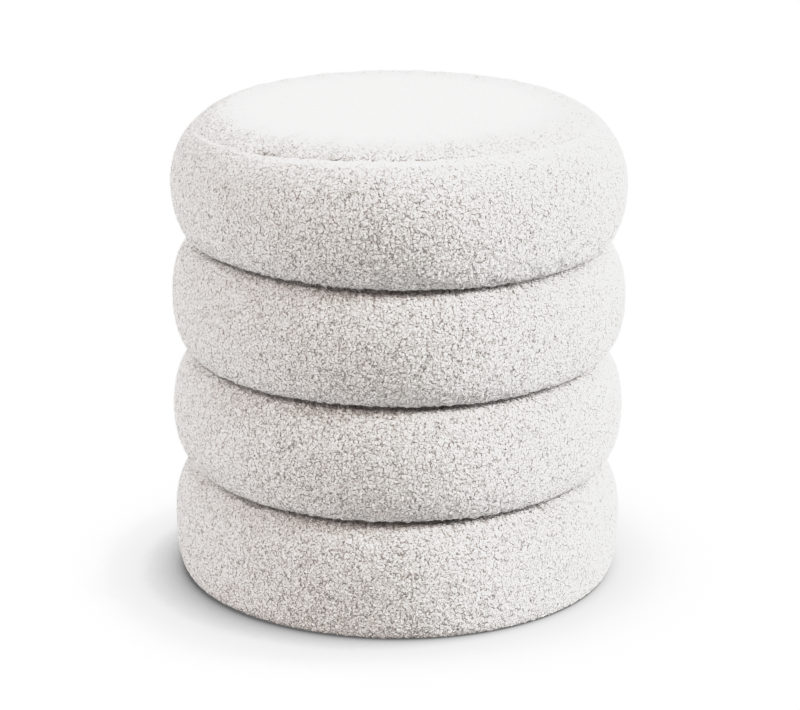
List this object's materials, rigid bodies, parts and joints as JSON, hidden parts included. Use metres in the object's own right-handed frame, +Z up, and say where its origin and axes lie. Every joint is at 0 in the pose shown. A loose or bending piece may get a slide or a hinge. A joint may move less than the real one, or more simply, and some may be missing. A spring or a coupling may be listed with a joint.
{
  "type": "storage footstool",
  "caption": "Round storage footstool: stacked padded rings in off-white curly pile cloth, with a lift-off padded lid over an open storage space.",
  "frame": {"origin": "middle of the underside, on the floor", "axes": "+Z up along the axis about which the footstool is round; -Y towards the viewer in the front view"},
  "size_m": [0.42, 0.42, 0.444],
  "materials": {
    "boucle": "curly off-white pile, matt",
    "lining": "plain non-woven lining, matt"
  },
  "bodies": {
    "drum": {"bottom_panel": "lining", "ring_lower": "boucle", "ring_middle": "boucle", "ring_upper": "boucle"},
    "lid": {"lid_base": "lining", "lid_band": "boucle", "lid_top_panel": "boucle"}
  },
  "joints": [
    {"name": "lid_lift", "type": "slide", "parent": "drum", "child": "lid", "axis": [0, 0, 1], "range_m": [0, 0.3]}
  ]
}
